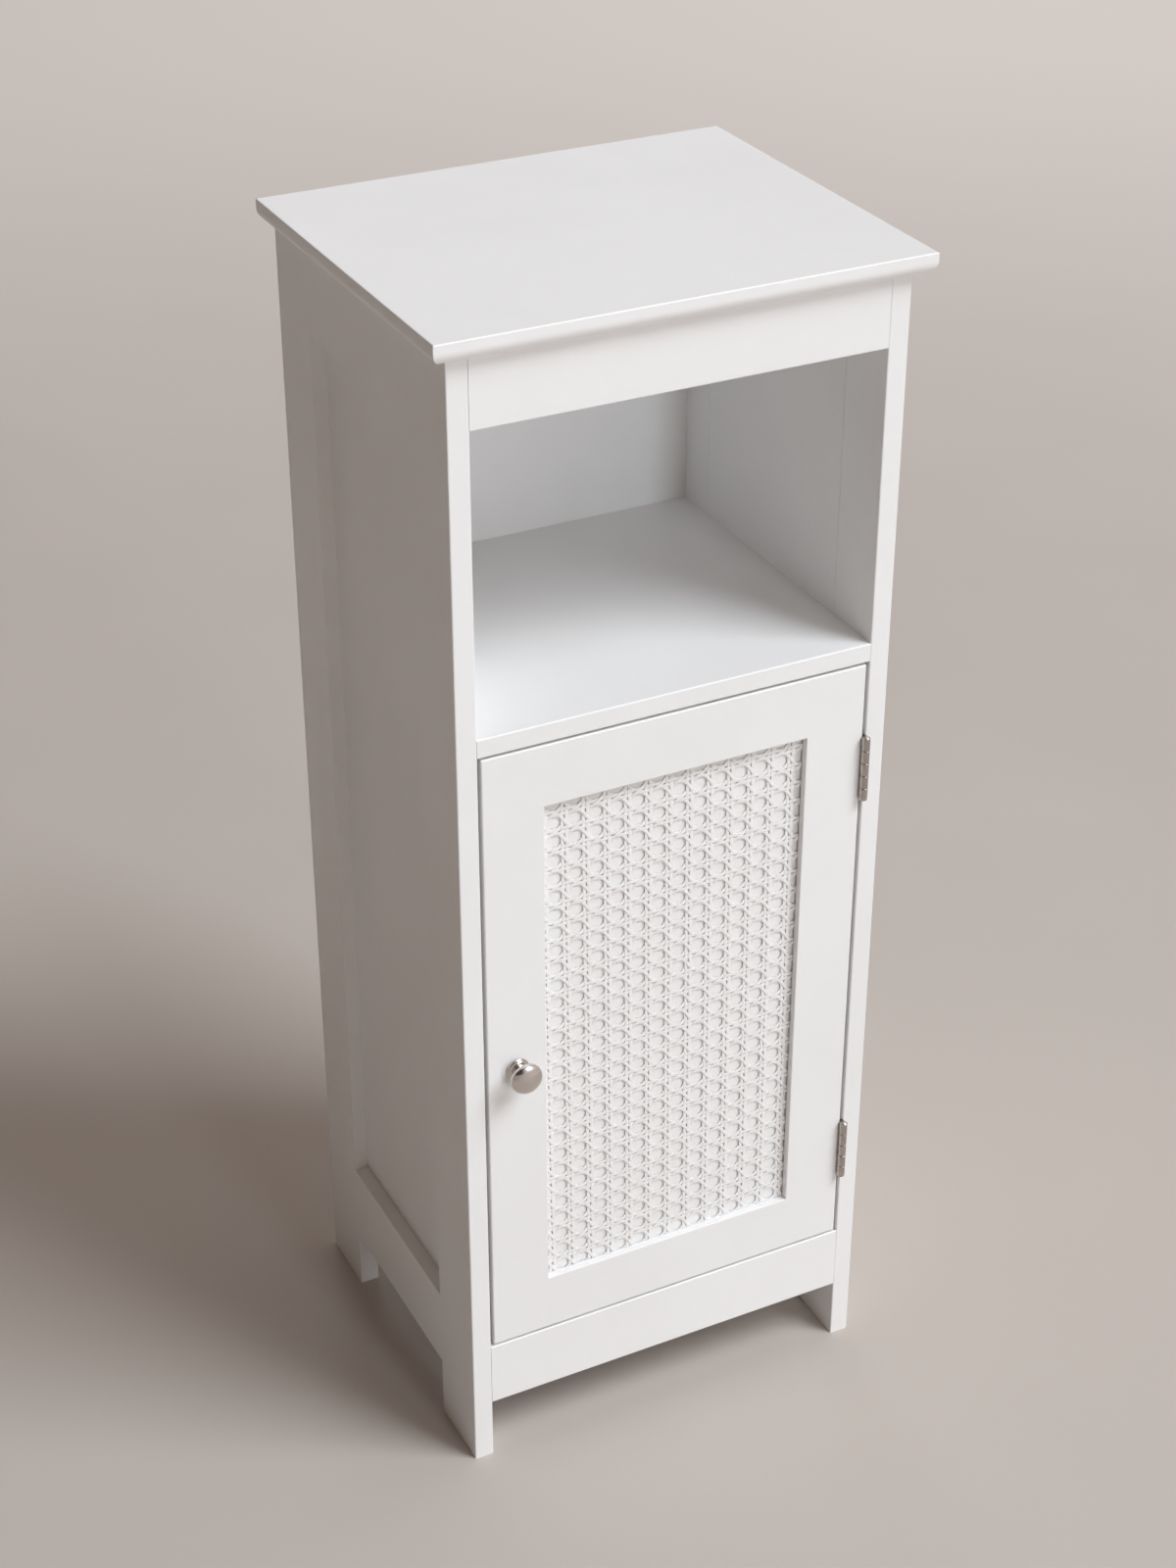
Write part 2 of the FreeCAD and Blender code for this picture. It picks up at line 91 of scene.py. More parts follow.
class Tree:
    """Node tree of a material or of the world, with short ways to wire it."""

    def __init__(self, owner: Any) -> None:
        """Starts the tree of a new material or world."""
        owner.use_nodes = True
        self.tree = owner.node_tree

    def node(self, kind: str, sockets: dict[Any, Any] | None = None, **settings: Any) -> Any:
        """Adds a node.

        Args:
            kind: Blender's name of the node type.
            sockets: values for its inputs, or the sockets that feed them.
            settings: attributes of the node itself.

        Returns:
            The new node.
        """
        made = self.tree.nodes.new(kind)
        for key, value in settings.items():
            setattr(made, key, value)
        for key, value in (sockets or {}).items():
            self.feed(made, key, value)
        return made

    def feed(self, node: Any, key: str | int, value: Any) -> None:
        """Sets an input of a node, or links a socket to it.

        Args:
            node: the node.
            key: name or number of the input.
            value: what it is set to, or the socket that feeds it.
        """
        if isinstance(value, bpy.types.NodeSocket):
            self.tree.links.new(value, node.inputs[key])
        else:
            node.inputs[key].default_value = value

    def joined(self, operation: str, first: Any, second: Any) -> Any:
        """A sum, product or the like of two values, as a socket."""
        return self.node("ShaderNodeMath", {0: first, 1: second}, operation=operation).outputs[0]

    def mixed(self, share: Any, first: Any, second: Any) -> Any:
        """A mix of two shaders, as a socket."""
        return self.node("ShaderNodeMixShader", {0: share, 1: first, 2: second}).outputs[0]

    def blended(self, share: Any, first: Any, second: Any) -> Any:
        """A mix of two colours, as a socket."""
        sockets = {"Factor": share, MIX_FIRST: first, MIX_SECOND: second}
        return self.node("ShaderNodeMix", sockets, data_type="RGBA").outputs[MIX_RESULT]

    def shown(self) -> Any:
        """Picks the rays that show a backdrop: straight, mirrored or through glass.

        Returns:
            A socket that is 1 on these rays.
        """
        rays = self.node("ShaderNodeLightPath").outputs
        either = self.joined("MAXIMUM", rays["Is Camera Ray"], rays["Is Glossy Ray"])
        return self.joined("MAXIMUM", either, rays["Is Transmission Ray"])

    def place(
        self, stretch: Sequence[float] = (1, 1, 1), turn: float = 0.0,
        centre: Sequence[float] = (0, 0, 0),
    ) -> Any:
        """Object coordinates for a pattern that is drawn out, turned and moved.

        Args:
            stretch: how many times longer the pattern gets on each of its own axes.
            turn: angle of the pattern about Y, in radians.
            centre: where the pattern has its origin.

        Returns:
            The socket with the coordinates.
        """
        where = self.node("ShaderNodeTexCoord").outputs["Object"]
        sockets = {
            "Vector": where, "Scale": stretch, "Rotation": (0.0, turn, 0.0), "Location": centre,
        }
        return self.node("ShaderNodeMapping", sockets, vector_type="TEXTURE").outputs["Vector"]

    def noise(self, where: Any, scale: float, detail: float = 3.0, rough: float = 0.5) -> Any:
        """Noise of a given number of features to the metre, as a socket."""
        sockets = {"Vector": where, "Scale": scale, "Detail": detail, "Roughness": rough}
        return self.node("ShaderNodeTexNoise", sockets).outputs["Fac"]

    def ramp(self, value: Any, stops: Pair, colours: Sequence[Colour]) -> Any:
        """Two colours along a value.

        Args:
            value: the socket that is read.
            stops: where each of the two begins.
            colours: the colours.

        Returns:
            The socket with the colour.
        """
        made = self.node("ShaderNodeValToRGB", {0: value})
        for element, position, colour in zip(made.color_ramp.elements, stops, colours):
            element.position = position
            element.color = (*colour, 1.0)
        return made.outputs["Color"]

    def mapped(
        self, value: Any, limits: Sequence[float], ends: Sequence[float] = (0.0, 1.0),
        eased: bool = False,
    ) -> Any:
        """A value carried from one span to another.

        Args:
            value: the socket that is read.
            limits: first and last value of its span.
            ends: what these two become.
            eased: whether the change starts and ends softly.

        Returns:
            The socket with the new value.
        """
        names = ("Value", "From Min", "From Max", "To Min", "To Max")
        sockets = dict(zip(names, (value, *limits, *ends)))
        kind = "SMOOTHSTEP" if eased else "LINEAR"
        return self.node("ShaderNodeMapRange", sockets, interpolation_type=kind).outputs["Result"]

    def span(self, value: Any, low: float, high: float) -> Any:
        """A value from the middle of a noise, stretched between two limits."""
        return self.mapped(value, NOISE_MIDDLE, (low, high))

    def bump(self, height: Any, depth: float, strength: float, under: Any = None) -> Any:
        """Bump from a height.

        Args:
            height: the socket with the height.
            depth: size of the full height, in metres.
            strength: share of it that shows.
            under: normal of a bump below this one.

        Returns:
            The socket with the normal.
        """
        sockets = {"Height": height, "Distance": depth, "Strength": strength}
        if under is not None:
            sockets["Normal"] = under
        return self.node("ShaderNodeBump", sockets).outputs["Normal"]


class Wiring(Tree):
    """Node tree of one material, with its main shader at hand."""

    def __init__(self, name: str) -> None:
        """Starts a material.

        Args:
            name: the material's name.
        """
        self.material = bpy.data.materials.new(name)
        super().__init__(self.material)
        self.shader = self.tree.nodes["Principled BSDF"]

    def shade(self, **sockets: Any) -> None:
        """Sets or links inputs of the main shader, with _ for each space in a name."""
        for key, value in sockets.items():
            self.feed(self.shader, key.replace("_", " "), value)


@dataclass(frozen=True)
class Paint:
    """Satin white paint, rolled on fibreboard."""

    name: str = "satin_white_paint"
    light: Colour = (0.912, 0.908, 0.902)
    dull: Colour = (0.881, 0.876, 0.868)
    stops: Pair = (0.35, 0.62)
    cloud_scale: float = 5.0
    sheen_scale: float = 38.0
    smooth: float = 0.36
    rough: float = 0.46
    stipple_scale: float = 950.0
    stipple_depth: float = 0.06 * MM
    sag_scale: float = 45.0
    sag_depth: float = 0.10 * MM
    ior: float = 1.48

    def material(self) -> Material:
        """Mixes the paint, with a soft unevenness and a roller's stipple.

        Returns:
            The material.
        """
        tree = Wiring(self.name)
        where = tree.place()
        cloud = tree.noise(where, self.cloud_scale, detail=4.0, rough=0.6)
        sheen = tree.noise(where, self.sheen_scale, detail=5.0)
        tree.shade(Base_Color=tree.ramp(cloud, self.stops, (self.dull, self.light)))
        tree.shade(Roughness=tree.span(sheen, self.smooth, self.rough))
        stipple = tree.noise(where, self.stipple_scale, detail=2.0)
        sag = tree.noise(where, self.sag_scale, detail=2.0)
        fine = tree.bump(stipple, self.stipple_depth, strength=0.5)
        tree.shade(Normal=tree.bump(sag, self.sag_depth, strength=0.35, under=fine), IOR=self.ior)
        return tree.material


@dataclass(frozen=True)
class Cane:
    """Split cane under thin white paint, with the fibres along the strand."""

    name: str
    turn: float
    light: Colour = (0.910, 0.902, 0.890)
    fibre: Colour = (0.822, 0.808, 0.783)
    stops: Pair = (0.50, 0.76)
    fibre_scale: float = 2600.0
    fibre_stretch: float = 30.0
    fibre_depth: float = 0.08 * MM
    patch_scale: float = 90.0
    patch_share: float = 0.4
    smooth: float = 0.38
    rough: float = 0.55
    ior: float = 1.5

    def material(self) -> Material:
        """Makes the cane, with streaks along the strands of one direction.

        Returns:
            The material.
        """
        tree = Wiring(self.name)
        along = tree.place((1.0, 1.0, self.fibre_stretch), self.turn)
        streak = tree.noise(along, self.fibre_scale, detail=4.0, rough=0.65)
        patch = tree.noise(tree.place(), self.patch_scale)
        both = tree.joined("ADD", streak, tree.joined("MULTIPLY", patch, self.patch_share))
        tree.shade(Base_Color=tree.ramp(both, self.stops, (self.fibre, self.light)))
        tree.shade(Roughness=tree.span(streak, self.smooth, self.rough))
        tree.shade(Normal=tree.bump(streak, self.fibre_depth, strength=0.6), IOR=self.ior)
        return tree.material


@dataclass(frozen=True)
class Grained:
    """Matt material with one grain in its colour, its sheen and its surface."""

    name: str
    light: Colour
    dull: Colour
    stops: Pair
    scale: float
    depth: float
    smooth: float
    rough: float = 0.75
    detail: float = 4.0
    strength: float = 0.4
    stretch: Point = (1.0, 1.0, 1.0)

    def material(self) -> Material:
        """Makes the material, with its grain drawn out as given.

        Returns:
            The material.
        """
        tree = Wiring(self.name)
        grain = tree.noise(tree.place(self.stretch), self.scale, self.detail, rough=0.6)
        tree.shade(Base_Color=tree.ramp(grain, self.stops, (self.dull, self.light)))
        tree.shade(Roughness=tree.span(grain, self.smooth, self.rough))
        tree.shade(Normal=tree.bump(grain, self.depth, self.strength))
        return tree.material


@dataclass(frozen=True)
class Metal:
    """Plated metal with fine marks along one axis."""

    name: str
    light: Colour
    dull: Colour
    smooth: float
    rough: float
    stretch: Point = (1.0, 1.0, 1.0)
    strength: float = 0.35
    stops: Pair = (0.35, 0.65)
    mark_scale: float = 1500.0
    mark_depth: float = 0.02 * MM
    smudge_scale: float = 70.0

    def marks(self, tree: Wiring) -> Any:
        """Height of the fine marks, drawn out along one axis, as a socket."""
        return tree.noise(tree.place(self.stretch), self.mark_scale, rough=0.6)

    def material(self) -> Material:
        """Makes the metal, with fine marks and smudges.

        Returns:
            The material.
        """
        tree = Wiring(self.name)
        marks = self.marks(tree)
        smudge = tree.noise(tree.place(), self.smudge_scale, detail=4.0)
        tree.shade(Metallic=1.0)
        tree.shade(Base_Color=tree.ramp(smudge, self.stops, (self.dull, self.light)))
        tree.shade(Roughness=tree.span(smudge, self.smooth, self.rough))
        tree.shade(Normal=tree.bump(marks, self.mark_depth, self.strength))
        return tree.material


@dataclass(frozen=True)
class TurnedMetal(Metal):
    """Plated metal with the rings that a lathe leaves, about an axis along Y."""

    centre: Point = (0.0, 0.0, 0.0)
    ring_scale: float = 900.0
    wobble: float = 1.2

    def marks(self, tree: Wiring) -> Any:
        """Height of the turned rings.

        Args:
            tree: the metal's wiring.

        Returns:
            The socket with the height.
        """
        sockets = {
            "Vector": tree.place(centre=self.centre), "Scale": self.ring_scale,
            "Distortion": self.wobble, "Detail": 2.0, "Detail Scale": 2.0,
        }
        settings = {"wave_type": "RINGS", "rings_direction": "Y"}
        return tree.node("ShaderNodeTexWave", sockets, **settings).outputs["Fac"]


@dataclass(frozen=True)
class Moulded:
    """Moulded plastic or fired ceramic of the catch."""

    name: str
    light: Colour
    dull: Colour
    rough: float
    spread: float = 0.06
    stops: Pair = (0.35, 0.65)
    grain_scale: float = 1300.0
    grain_depth: float = 0.04 * MM
    cloud_scale: float = 60.0

    def material(self) -> Material:
        """Makes the moulding, with a spark-eroded texture.

        Returns:
            The material.
        """
        tree = Wiring(self.name)
        where = tree.place()
        grain = tree.noise(where, self.grain_scale)
        cloud = tree.noise(where, self.cloud_scale)
        tree.shade(Base_Color=tree.ramp(cloud, self.stops, (self.dull, self.light)))
        tree.shade(Roughness=tree.span(cloud, self.rough - self.spread, self.rough + self.spread))
        tree.shade(Normal=tree.bump(grain, self.grain_depth, strength=0.5))
        return tree.material


class Finishes:
    """The cabinet's finishes, each made once."""

    def __init__(self) -> None:
        """Makes every material."""
        self.paint = Paint().material()
        self.sheet = Grained(
            "matt_white_sheet", light=(0.912, 0.906, 0.896), dull=(0.880, 0.873, 0.862),
            stops=(0.35, 0.65), scale=420.0, depth=0.05 * MM, smooth=0.62,
        ).material()
        self.wood = Grained(
            "sanded_wood", light=(0.560, 0.395, 0.235), dull=(0.400, 0.255, 0.135),
            stops=(0.32, 0.60), scale=260.0, depth=0.15 * MM, smooth=0.55, detail=5.0,
            strength=0.5, stretch=(1.0, 1.0, 12.0),
        ).material()
        low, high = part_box("knob")
        self.knob = TurnedMetal(
            "turned_nickel", light=(0.712, 0.668, 0.635), dull=(0.652, 0.606, 0.572),
            smooth=0.11, rough=0.17, strength=0.15, centre=tuple((low + high) / 2),
        ).material()
        self.hinge = Metal(
            "rolled_nickel", light=(0.550, 0.505, 0.465), dull=(0.480, 0.438, 0.400),
            smooth=0.22, rough=0.32, stretch=(1.0, 1.0, 30.0),
        ).material()
        self.zinc = Metal(
            "zinc_plate", light=(0.60, 0.61, 0.62), dull=(0.50, 0.51, 0.53),
            smooth=0.30, rough=0.45, stretch=(1.0, 10.0, 1.0),
        ).material()
        self.plastic = Moulded(
            "catch_plastic", light=(0.78, 0.77, 0.75), dull=(0.74, 0.73, 0.71), rough=0.45
        ).material()
        self.magnet = Moulded(
            "magnet_ceramic", light=(0.050, 0.050, 0.053), dull=(0.030, 0.030, 0.032), rough=0.60
        ).material()


class Maker:
    """Turns meshes into finished pieces that move with the cabinet."""

    @staticmethod
    def placed(name: str, data: Any) -> bpy.types.Object:
        """Adds an object to the scene.

        Args:
            name: the object's name.
            data: its mesh, lamp or camera.

        Returns:
            The object.
        """
        made = bpy.data.objects.new(name, data)
        bpy.context.scene.collection.objects.link(made)
        return made

    @staticmethod
    def piece(
        mesh: BMesh, name: str, material: Material, body: Body, slot: str,
        stands_for: Sequence[str] = (),
    ) -> None:
        """Finishes a piece.

        Args:
            mesh: its shape, which is used up.
            name: the piece's name.
            material: its finish.
            body: the body that it moves with.
            slot: name of the piece's material slot; not used.
            stands_for: the model's nodes that it takes the place of.
        """
        bmesh.ops.recalc_face_normals(mesh, faces=mesh.faces)
        data = bpy.data.meshes.new(name)
        mesh.to_mesh(data)
        mesh.free()
        data.shade_smooth()
        data.set_sharp_from_angle(angle=SMOOTH_ANGLE)
        data.materials.append(material)
        made = Maker.placed(name, data)
        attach(made, body.value)
        if stands_for:
            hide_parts(*stands_for)
        log.info("%s: %d faces on the %s", name, len(data.polygons), body.value)

    @staticmethod
    def dress(node: str, material: Material) -> None:
        """Gives a node of the model its finish.

        Args:
            node: the node's name.
            material: its finish.
        """
        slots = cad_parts[node].data.materials
        slots.clear()
        slots.append(material)
        log.info("%s: dressed", node)


class Shaper:
    """Shapes that several pieces share."""

    @staticmethod
    def fresh(geom: Sequence[Any]) -> tuple[list[BMVert], list[BMEdge]]:
        """Picks what an extrusion or a copy has added.

        Args:
            geom: the geometry that the operator returns.

        Returns:
            The new vertices, and the edges between them.
        """
        verts = [g for g in geom if isinstance(g, BMVert)]
        new = set(verts)
        edges = [g for g in geom if isinstance(g, BMEdge) and new.issuperset(g.verts)]
        return verts, edges

    @staticmethod
    def sweep(mesh: BMesh, section: Sequence[Vector], path: Sequence[Vector]) -> list[BMVert]:
        """Draws a closed section along a path.

        Args:
            mesh: the mesh that gets the shape.
            section: corners of the section about the path.
            path: points of the path.

        Returns:
            The new vertices.
        """
        ring = [mesh.verts.new(path[0] + corner) for corner in section]
        made = list(ring)
        loop = [mesh.edges.new((ring[i - 1], ring[i])) for i in range(len(ring))]
        bmesh.ops.contextual_create(mesh, geom=loop)
        for here, ahead in zip(path, path[1:]):
            grown = bmesh.ops.extrude_edge_only(mesh, edges=loop)["geom"]
            ring, loop = Shaper.fresh(grown)
            bmesh.ops.translate(mesh, verts=ring, vec=ahead - here)
            made += ring
        bmesh.ops.contextual_create(mesh, geom=loop)
        return made

    @staticmethod
    def copies(mesh: BMesh, verts: Sequence[BMVert], steps: Iterable[Vector]) -> None:
        """Repeats a shape at several places.

        Args:
            mesh: the mesh that holds the shape.
            verts: vertices of the shape.
            steps: moves from the shape to each copy.
        """
        edges = dict.fromkeys(edge for vert in verts for edge in vert.link_edges)
        faces = dict.fromkeys(face for vert in verts for face in vert.link_faces)
        geom = [*verts, *edges, *faces]
        for step in steps:
            moved, _ = Shaper.fresh(bmesh.ops.duplicate(mesh, geom=geom)["geom"])
            bmesh.ops.translate(mesh, verts=moved, vec=step)

    @staticmethod
    def turned(
        mesh: BMesh, profile: Sequence[Pair], base: Vector, axis: Vector, steps: int
    ) -> None:
        """Turns a profile about an axis.

        Args:
            mesh: the mesh that gets the shape.
            profile: radius and distance along the axis of each point.
            base: the axis's start.
            axis: its direction.
            steps: number of steps in a full turn.
        """
        across = axis.orthogonal().normalized()
        before = set(mesh.verts)
        chain = [mesh.verts.new(base + across * r + axis * d) for r, d in profile]
        edges = [mesh.edges.new(pair) for pair in zip(chain, chain[1:])]
        bmesh.ops.spin(
            mesh, geom=[*chain, *edges], cent=base, axis=axis, dvec=(0, 0, 0),
            angle=math.tau, steps=steps, use_merge=True, use_duplicate=False,
        )
        made = [vert for vert in mesh.verts if vert not in before]
        bmesh.ops.remove_doubles(mesh, verts=made, dist=WELD)

    @staticmethod
    def arc(
        centre: Sequence[float], radii: Sequence[float], turns: Sequence[float], steps: int
    ) -> list[Pair]:
        """Points on part of an ellipse.

        Args:
            centre: its middle.
            radii: its two half-widths.
            turns: first and last angle, in radians.
            steps: number of steps between them.

        Returns:
            The points.
        """
        start, end = turns
        angles = [start + (end - start) * i / steps for i in range(steps + 1)]
        return [
            (centre[0] + radii[0] * math.cos(a), centre[1] + radii[1] * math.sin(a))
            for a in angles
        ]


@dataclass
class CaneWeave:
    """Six-way cane webbing: pairs of uprights, pairs of levels and two sets of slants."""

    column_pitch: float = 15.88 * MM
    row_pitch: float = 14.72 * MM
    first_column: float = -88.7 * MM
    first_row: float = 541.2 * MM
    lean: float = math.radians(0.67)
    strand_width: float = 2.4 * MM
    slant_width: float = 2.25 * MM
    strand_thickness: float = 0.38 * MM
    crown: float = 0.12 * MM
    pair_offset_x: float = 1.60 * MM
    pair_offset_z: float = 1.55 * MM
    pair_swing: float = 0.21 * MM
    slant_swing: float = 0.50 * MM
    slant_bend: float = 0.95 * MM
    flatness: float = 2.0
    steps: int = 8

    def __post_init__(self) -> None:
        """Reads where the net lies, and counts its strands with a few to spare."""
        self.low, self.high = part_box("cane_webbing")
        self.middle_y = self.low.y + self.slant_swing + self.strand_thickness / 2
        self.post_x = self.first_column + self.column_pitch / 2
        self.bar_z = self.first_row + self.row_pitch / 2
        self.columns = math.ceil((self.high.x - self.low.x) / self.column_pitch) + 3
        self.rows = math.ceil((self.high.z - self.low.z) / self.row_pitch) + 3

    def section(self, side: Vector, width: float) -> list[Vector]:
        """Section of a strand, flat behind and crowned in front.

        Args:
            side: direction across the strand.
            width: the strand's width.

        Returns:
            The section's corners.
        """
        half, thick = width / 2, self.strand_thickness / 2
        corners = [
            (-half, thick), (half, thick), (half, self.crown - thick), (half / 2, -thick),
            (-half / 2, -thick), (-half, self.crown - thick),
        ]
        return [side * across + Vector((0.0, deep, 0.0)) for across, deep in corners]

    def slant_height(self, turn: float) -> float:
        """How far a slant stands out at a place, from over a pair to under the next one."""
        share = math.tanh(self.flatness * math.cos(turn)) / math.tanh(self.flatness)
        return self.slant_swing * share

    def trim(self, mesh: BMesh) -> None:
        """Turns a set of strands as the net hangs, and cuts it to the net's edges.

        Args:
            mesh: the mesh of the set.
        """
        centre = (self.low + self.high) / 2
        turn = Matrix.Rotation(-self.lean, 3, "Y")
        bmesh.ops.rotate(mesh, cent=centre, matrix=turn, verts=mesh.verts)
        for point, normal in (
            (self.low, (-1, 0, 0)), (self.low, (0, 0, -1)),
            (self.high, (1, 0, 0)), (self.high, (0, 0, 1)),
        ):
            everything = [*mesh.verts, *mesh.edges, *mesh.faces]
            bmesh.ops.bisect_plane(
                mesh, geom=everything, dist=SLACK / 10, plane_co=point, plane_no=normal,
                clear_outer=True,
            )
        open_edges = [edge for edge in mesh.edges if edge.is_boundary]
        bmesh.ops.holes_fill(mesh, edges=open_edges, sides=0)

    def pairs(
        self, start: Vector, step: Vector, count: int, offset: Vector, apart: Vector, copies: int
    ) -> BMesh:
        """Pairs of strands, each waving between the strands that cross it.

        Args:
            start: where the first pair begins.
            step: the way from one crossing to the next.
            count: number of steps.
            offset: from the middle of a pair to its first strand.
            apart: the way from one pair to the next.
            copies: number of pairs after the first.

        Returns:
            The mesh of the set.
        """
        mesh = bmesh.new()
        section = self.section(apart.normalized(), self.strand_width)
        moves = [apart * (k + 1) for k in range(copies)]
        for sign in (1, -1):
            path = []
            for index in range(count * self.steps + 1):
                share = index / self.steps
                swing = sign * self.pair_swing * math.sin(math.tau * share)
                path.append(start + offset * sign + step * share - Vector((0, swing, 0)))
            Shaper.copies(mesh, Shaper.sweep(mesh, section, path), moves)
        self.trim(mesh)
        return mesh

    def uprights(self) -> BMesh:
        """Lays pairs of upright strands over the whole net.

        Returns:
            The mesh of the set.
        """
        below = math.ceil((self.bar_z - self.low.z) / self.row_pitch) + 1
        start = Vector((
            self.post_x - self.column_pitch, self.middle_y, self.bar_z - below * self.row_pitch
        ))
        step, apart = Vector((0, 0, self.row_pitch)), Vector((self.column_pitch, 0, 0))
        offset = Vector((-self.pair_offset_x, 0, 0))
        return self.pairs(start, step, self.rows, offset, apart, self.columns)

    def levels(self) -> BMesh:
        """Lays pairs of level strands over the whole net.

        Returns:
            The mesh of the set.
        """
        start = Vector((
            self.post_x - 2 * self.column_pitch, self.middle_y, self.bar_z + 2 * self.row_pitch
        ))
        step, apart = Vector((self.column_pitch, 0, 0)), Vector((0, 0, -self.row_pitch))
        offset = Vector((0, 0, self.pair_offset_z))
        return self.pairs(start, step, self.columns, offset, apart, self.rows)

    def slants(self, sign: int) -> BMesh:
        """One set of slanting strands, which bend round the crossings and leave round holes.

        Args:
            sign: -1 for strands that fall to the right, 1 for strands that rise to the right.

        Returns:
            The mesh of the set.
        """
        mesh = bmesh.new()
        rows = self.rows
        side = Vector((sign * self.row_pitch, 0, -self.column_pitch)).normalized()
        row = math.ceil((self.high.z - self.first_row) / self.row_pitch) + 1
        start_z = self.first_row + row * self.row_pitch
        if sign > 0:
            start_z -= rows * self.row_pitch
        path = []
        for step in range(rows * self.steps + 1):
            share = step / self.steps
            height = -sign * self.slant_height(math.tau * share)
            bend = side * (-sign * self.slant_bend * math.sin(math.tau * share))
            path.append(bend + Vector((
                self.post_x - (rows + 2) * self.column_pitch + share * self.column_pitch,
                self.middle_y - height,
                start_z + sign * share * self.row_pitch,
            )))
        strand = Shaper.sweep(mesh, self.section(side, self.slant_width), path)
        copies = rows + self.columns + 1
        moves = [Vector(((k + 1) * self.column_pitch, 0, 0)) for k in range(copies)]
        Shaper.copies(mesh, strand, moves)
        self.trim(mesh)
        return mesh

    def build(self) -> None:
        """Makes the four sets of strands."""
        slant = math.atan2(self.column_pitch, self.row_pitch)
        sets = (
            ("cane_uprights", self.uprights(), 0.0),
            ("cane_levels", self.levels(), QUARTER),
            ("cane_slants_falling", self.slants(-1), slant),
            ("cane_slants_rising", self.slants(1), -slant),
        )
        for name, mesh, turn in sets:
            finish = Cane(f"{name}_finish", turn).material()
            Maker.piece(mesh, name, finish, Body.DOOR, "cane", ["cane_webbing"])


@dataclass
class Knob:
    """Turned pull with a stepped base, a waist and a domed head."""

    flange_radius: float = 8.2 * MM
    ring_radius: float = 6.9 * MM
    neck_radius: float = 4.6 * MM
    flange_top: float = 2.1 * MM
    ring_top: float = 3.8 * MM
    neck_end: float = 4.8 * MM
    edge_round: float = 0.45 * MM
    dome_height: float = 6.4 * MM
    rim_width: float = 1.4 * MM
    edge_steps: int = 4
    flare_steps: int = 14
    dome_steps: int = 20
    steps: int = 96

    def profile(self, head: float, reach: float) -> list[Pair]:
        """Radius and distance of each point, from the base to the tip of the dome.

        Args:
            head: radius of the head.
            reach: distance from the door to the tip.

        Returns:
            The profile's points.
        """
        soft, steps = self.edge_round, self.edge_steps
        corner = (soft, soft)
        rim_end = reach - self.dome_height
        flare_end = rim_end - self.rim_width
        outward, upward, inward = (-QUARTER, 0.0), (0.0, QUARTER), (-QUARTER, -math.pi)
        edges = (
            (self.flange_radius - soft, soft, outward),
            (self.flange_radius - soft, self.flange_top - soft, upward),
            (self.ring_radius + soft, self.flange_top + soft, inward),
            (self.ring_radius - soft, self.ring_top - soft, upward),
            (self.neck_radius + soft, self.ring_top + soft, inward),
        )
        points = [(0.0, 0.0)]
        for radius, height, turns in edges:
            points += Shaper.arc((radius, height), corner, turns, steps)
        flare = (head - soft - self.neck_radius, flare_end - self.neck_end)
        points += Shaper.arc(
            (head - soft, self.neck_end), flare, (math.pi, QUARTER), self.flare_steps
        )[1:]
        points += Shaper.arc((head - soft, flare_end + soft), corner, outward, steps)
        dome = (head, self.dome_height)
        points += Shaper.arc((0.0, rim_end), dome, upward, self.dome_steps)[:-1]
        points.append((0.0, reach))
        return points

    def build(self, finishes: Finishes) -> None:
        """Makes the knob where the model has it.

        Args:
            finishes: the cabinet's finishes.
        """
        low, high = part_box("knob")
        head = (high.x - low.x) / 2
        base = Vector(((low.x + high.x) / 2, high.y, (low.z + high.z) / 2))
        mesh = bmesh.new()
        profile = self.profile(head, high.y - low.y)
        Shaper.turned(mesh, profile, base, Toward.FRONT.vector, self.steps)
        Maker.piece(mesh, "knob_turned", finishes.knob, Body.DOOR, "nickel", ["knob"])


